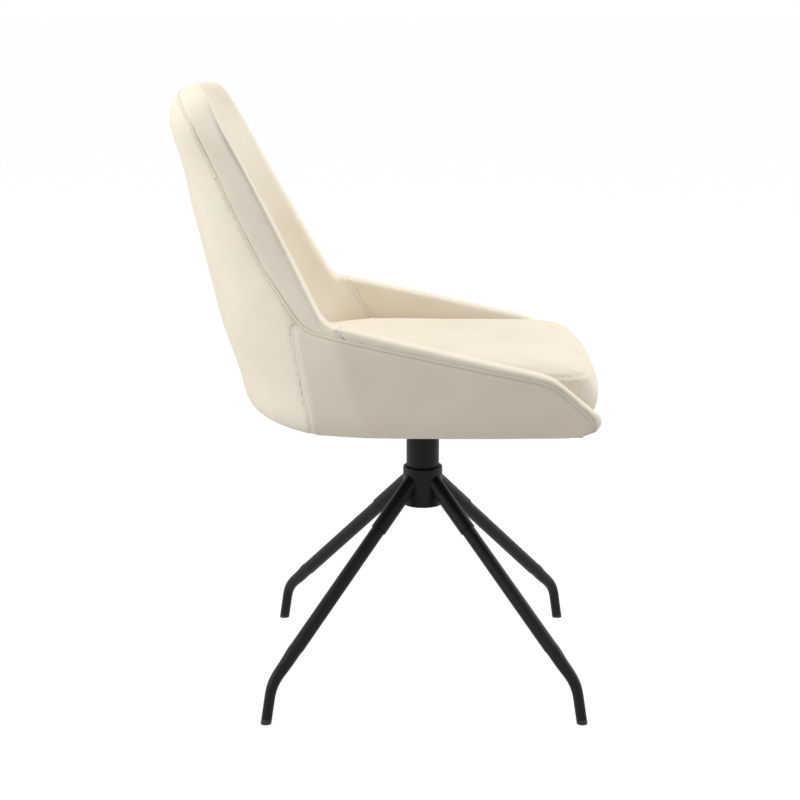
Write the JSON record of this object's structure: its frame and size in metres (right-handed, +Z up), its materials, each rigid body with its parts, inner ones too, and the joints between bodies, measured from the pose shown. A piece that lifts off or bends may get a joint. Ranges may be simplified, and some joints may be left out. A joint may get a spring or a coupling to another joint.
{
  "type": "swivel dining chair",
  "caption": "Upholstered bucket chair with low sloping arms and a loose-look seat cushion, turning on a column over a hub with splayed tubular steel legs.",
  "frame": {"origin": "on the floor, below the middle of the chair's overall box", "axes": "+X to the sitter's front, +Y to the sitter's left, +Z up"},
  "size_m": [0.6094, 0.47, 0.87],
  "materials": {
    "black_frame": "satin",
    "black_plastic": "matte",
    "bearing_plastic": "satin",
    "zinc_steel": "satin",
    "plywood": "matte",
    "core_plastic": "matte",
    "lining": "matte",
    "velvet": "matte"
  },
  "bodies": {
    "base": {"hub_tube": "black_frame", "hub_floor": "black_frame", "hub_cap": "black_plastic", "upper_bush": "bearing_plastic", "lower_bush": "bearing_plastic", "thrust_washer": "bearing_plastic", "leg_front_left": "black_frame", "leg_sleeve_front_left": "black_frame", "foot_glide_front_left": "black_plastic", "leg_rear_left": "black_frame", "leg_sleeve_rear_left": "black_frame", "foot_glide_rear_left": "black_plastic", "leg_rear_right": "black_frame", "leg_sleeve_rear_right": "black_frame", "foot_glide_rear_right": "black_plastic", "leg_front_right": "black_frame", "leg_sleeve_front_right": "black_frame", "foot_glide_front_right": "black_plastic"},
    "seat": {"column_tube": "black_frame", "column_end_plug": "black_frame", "centre_washer": "zinc_steel", "centre_bolt": "zinc_steel", "seat_plate": "black_frame", "plate_bolts": "zinc_steel", "plate_washers": "zinc_steel", "tee_nuts": "zinc_steel", "seat_board": "plywood", "dust_cover": "lining", "outer_back_panel": "velvet", "outer_side_panel_left": "velvet", "outer_side_panel_right": "velvet", "shell_core": "core_plastic", "inner_back_pad": "velvet", "inner_wing_pad_left": "velvet", "inner_wing_pad_right": "velvet", "inner_arm_pad_left": "velvet", "inner_arm_pad_right": "velvet", "front_rail": "velvet", "seat_cushion": "velvet"}
  },
  "joints": [
    {"name": "seat_swivel", "type": "hinge", "parent": "base", "child": "seat", "pos_m": [0.05473, 0, 0.3], "axis": [0, 0, 1], "continuous": true}
  ]
}
